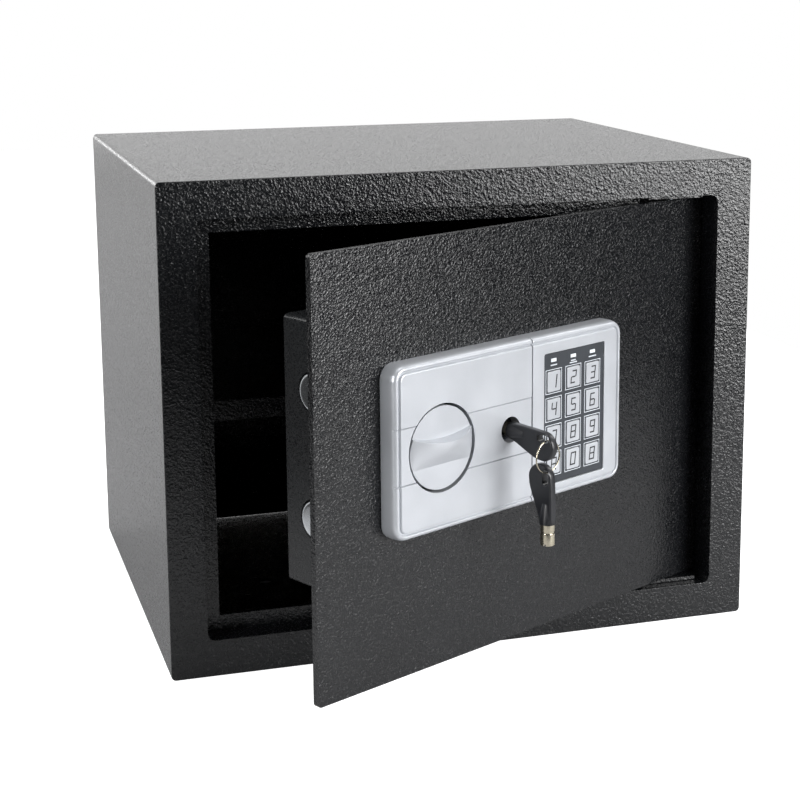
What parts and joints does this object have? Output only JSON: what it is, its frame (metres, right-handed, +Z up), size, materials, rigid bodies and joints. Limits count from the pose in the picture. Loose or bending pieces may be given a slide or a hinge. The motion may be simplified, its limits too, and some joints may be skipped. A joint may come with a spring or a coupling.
{
  "type": "digital safe",
  "caption": "Steel safe with an inner shelf and a recessed hinged door that carries a keypad, a turning knob, round locking bolts and an override key lock.",
  "frame": {"origin": "centre of the cabinet's underside, on the surface it stands on", "axes": "+Z up, -Y out of the door side, +X to the hinge side seen from the front"},
  "size_m": [0.381, 0.4291, 0.305],
  "materials": {
    "black_powder_coat": "fine hammertone powder coat, satin",
    "zinc_steel": "bright zinc plated steel",
    "chromed_steel": "bright chrome plate",
    "nickel": "bright nickel plate on brass",
    "silver_plastic": "satin silver painted ABS",
    "charcoal_film": "printed charcoal polyester film",
    "black_plastic": "fine textured black ABS",
    "red_plastic": "moulded red plastic",
    "clear_plastic": "clear moulded light guide",
    "green_board": "solder-masked glass-epoxy board",
    "copper_winding": "taped coil in a folded frame",
    "cell_wrap": "printed shrink sleeve"
  },
  "bodies": {
    "cabinet": {"body_shell": "black_powder_coat", "rear_panel": "black_powder_coat", "front_frame": "black_powder_coat", "strike_plate": "black_powder_coat", "shelf": "black_powder_coat", "shelf_rail_left": "black_powder_coat", "shelf_rail_right": "black_powder_coat", "hinge_bracket_top": "black_powder_coat", "hinge_bracket_bottom": "black_powder_coat", "hinge_pin_top": "zinc_steel", "hinge_pin_bottom": "zinc_steel"},
    "door": {"door_plate": "black_powder_coat", "hinge_knuckle_bottom": "black_powder_coat", "hinge_knuckle_top": "black_powder_coat", "lock_housing": "black_powder_coat", "panel_plate": "silver_plastic", "keypad_bezel": "silver_plastic", "keypad_plate": "charcoal_film", "indicator_lens": "clear_plastic", "circuit_board": "green_board", "guide_stud_middle": "zinc_steel", "guide_stud_lower": "zinc_steel", "solenoid_coil": "copper_winding", "key_lock_barrel": "chromed_steel", "key_lock_nut": "zinc_steel", "battery_tray": "black_plastic", "battery_cell_1": "cell_wrap", "battery_cell_2": "cell_wrap", "battery_cell_3": "cell_wrap", "battery_cell_4": "cell_wrap"},
    "knob": {"knob": "silver_plastic", "knob_spindle": "zinc_steel", "crank_disc": "zinc_steel"},
    "bolts": {"bolt_carriage": "zinc_steel", "bolt_upper": "chromed_steel", "bolt_lower": "chromed_steel"},
    "plunger": {"solenoid_plunger": "zinc_steel", "plunger_spring": "zinc_steel"},
    "lock_plug": {"key_lock_plug": "chromed_steel", "key_lock_tail": "zinc_steel"},
    "key": {"key_blade": "nickel", "key_head": "black_plastic"},
    "key_ring": {"key_ring": "nickel"},
    "spare_key": {"spare_key_blade": "nickel", "spare_key_head": "black_plastic"},
    "battery_cover": {"battery_cover": "black_plastic"},
    "reset_button": {"reset_button": "red_plastic"},
    "keypad_key_1": {"keypad_key_1": "silver_plastic"},
    "keypad_key_2": {"keypad_key_2": "silver_plastic"},
    "keypad_key_3": {"keypad_key_3": "silver_plastic"},
    "keypad_key_4": {"keypad_key_4": "silver_plastic"},
    "keypad_key_5": {"keypad_key_5": "silver_plastic"},
    "keypad_key_6": {"keypad_key_6": "silver_plastic"},
    "keypad_key_7": {"keypad_key_7": "silver_plastic"},
    "keypad_key_8": {"keypad_key_8": "silver_plastic"},
    "keypad_key_9": {"keypad_key_9": "silver_plastic"},
    "keypad_key_A": {"keypad_key_A": "silver_plastic"},
    "keypad_key_0": {"keypad_key_0": "silver_plastic"},
    "keypad_key_B": {"keypad_key_B": "silver_plastic"}
  },
  "joints": [
    {"name": "door_hinge", "type": "hinge", "parent": "cabinet", "child": "door", "pos_m": [0.1425, -0.1325, 0.1525], "axis": [0, 0, 1], "range_deg": [-26.3, 83.7]},
    {"name": "knob_turn", "type": "hinge", "parent": "door", "child": "knob", "pos_m": [-0.04811, -0.25013, 0.1603], "axis": [0.4431, -0.8965, 0], "range_deg": [0, 90]},
    {"name": "bolt_slide", "type": "slide", "parent": "door", "child": "bolts", "axis": [-0.8965, -0.4431, 0], "range_m": [0, 0.022]},
    {"name": "plunger_slide", "type": "slide", "parent": "door", "child": "plunger", "axis": [0, 0, 1], "range_m": [-0.0055, 0], "deforming": ["plunger_spring"]},
    {"name": "key_lock_turn", "type": "hinge", "parent": "door", "child": "lock_plug", "pos_m": [0.00155, -0.22559, 0.1603], "axis": [-0.4431, 0.8965, 0], "range_deg": [0, 90]},
    {"name": "key_slide", "type": "slide", "parent": "lock_plug", "child": "key", "axis": [0.4431, -0.8965, 0], "range_m": [0, 0.02]},
    {"name": "ring_swing", "type": "hinge", "parent": "key", "child": "key_ring", "pos_m": [0.01453, -0.25185, 0.1592], "axis": [-0.8965, -0.4431, 0], "range_deg": [-18, 50]},
    {"name": "spare_key_swing", "type": "hinge", "parent": "key_ring", "child": "spare_key", "pos_m": [0.01453, -0.25185, 0.1408], "axis": [0.8965, 0.4431, 0], "range_deg": [-35, 20]},
    {"name": "battery_cover_slide", "type": "slide", "parent": "door", "child": "battery_cover", "axis": [0.8965, 0.4431, 0], "range_m": [0, 0.05]},
    {"name": "reset_press", "type": "slide", "parent": "door", "child": "reset_button", "axis": [0.4431, -0.8965, 0], "range_m": [0, 0.0015], "stiffness_N_per_m": 400},
    {"name": "keypad_1_press", "type": "slide", "parent": "door", "child": "keypad_key_1", "axis": [-0.4431, 0.8965, 0], "range_m": [0, 0.0008], "stiffness_N_per_m": 800},
    {"name": "keypad_2_press", "type": "slide", "parent": "door", "child": "keypad_key_2", "axis": [-0.4431, 0.8965, 0], "range_m": [0, 0.0008], "stiffness_N_per_m": 800},
    {"name": "keypad_3_press", "type": "slide", "parent": "door", "child": "keypad_key_3", "axis": [-0.4431, 0.8965, 0], "range_m": [0, 0.0008], "stiffness_N_per_m": 800},
    {"name": "keypad_4_press", "type": "slide", "parent": "door", "child": "keypad_key_4", "axis": [-0.4431, 0.8965, 0], "range_m": [0, 0.0008], "stiffness_N_per_m": 800},
    {"name": "keypad_5_press", "type": "slide", "parent": "door", "child": "keypad_key_5", "axis": [-0.4431, 0.8965, 0], "range_m": [0, 0.0008], "stiffness_N_per_m": 800},
    {"name": "keypad_6_press", "type": "slide", "parent": "door", "child": "keypad_key_6", "axis": [-0.4431, 0.8965, 0], "range_m": [0, 0.0008], "stiffness_N_per_m": 800},
    {"name": "keypad_7_press", "type": "slide", "parent": "door", "child": "keypad_key_7", "axis": [-0.4431, 0.8965, 0], "range_m": [0, 0.0008], "stiffness_N_per_m": 800},
    {"name": "keypad_8_press", "type": "slide", "parent": "door", "child": "keypad_key_8", "axis": [-0.4431, 0.8965, 0], "range_m": [0, 0.0008], "stiffness_N_per_m": 800},
    {"name": "keypad_9_press", "type": "slide", "parent": "door", "child": "keypad_key_9", "axis": [-0.4431, 0.8965, 0], "range_m": [0, 0.0008], "stiffness_N_per_m": 800},
    {"name": "keypad_A_press", "type": "slide", "parent": "door", "child": "keypad_key_A", "axis": [-0.4431, 0.8965, 0], "range_m": [0, 0.0008], "stiffness_N_per_m": 800},
    {"name": "keypad_0_press", "type": "slide", "parent": "door", "child": "keypad_key_0", "axis": [-0.4431, 0.8965, 0], "range_m": [0, 0.0008], "stiffness_N_per_m": 800},
    {"name": "keypad_B_press", "type": "slide", "parent": "door", "child": "keypad_key_B", "axis": [-0.4431, 0.8965, 0], "range_m": [0, 0.0008], "stiffness_N_per_m": 800}
  ],
  "couplings": [
    {"joint": "bolt_slide", "follows": "knob_turn", "m_per_rad": 0.014}
  ]
}
